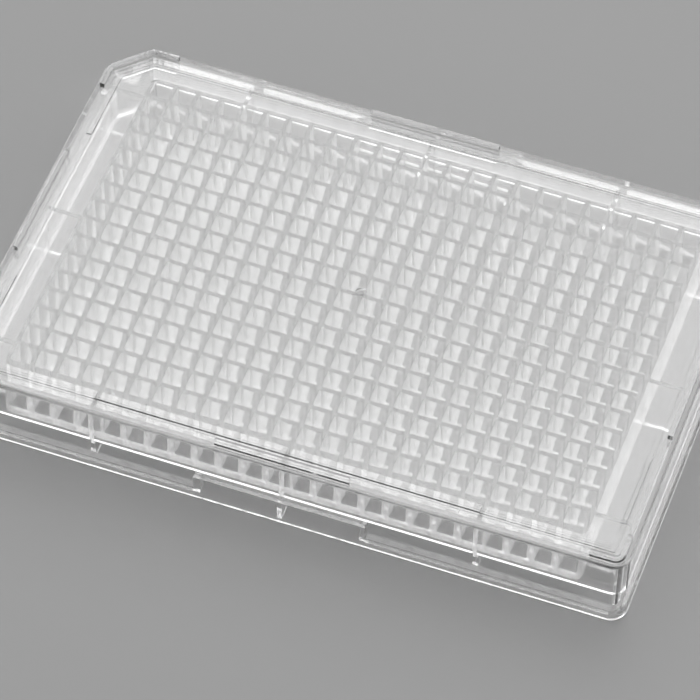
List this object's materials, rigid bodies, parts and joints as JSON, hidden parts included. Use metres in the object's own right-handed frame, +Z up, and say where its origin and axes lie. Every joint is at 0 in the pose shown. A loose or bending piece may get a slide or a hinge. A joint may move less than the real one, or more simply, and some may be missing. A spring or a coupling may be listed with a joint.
{
  "type": "microwell plate with lid",
  "caption": "Clear plastic multiwell assay plate: rows of small square wells sunk in a deck, hollow skirt with a base flange, one bevelled corner, and a loose clear lid with stacking lugs.",
  "frame": {"origin": "centre of the base, on the surface that the plate stands on", "axes": "+Z up through the lid, +X along the plate's columns from left to right, +Y towards the first row, with the bevelled corner of the first well at -X, +Y"},
  "size_m": [0.1278, 0.0854, 0.0165],
  "materials": {
    "plate": "clear gloss polystyrene",
    "lid": "clear gloss polystyrene"
  },
  "bodies": {
    "root": {"plate": "plate", "lid": "lid"}
  },
  "joints": []
}
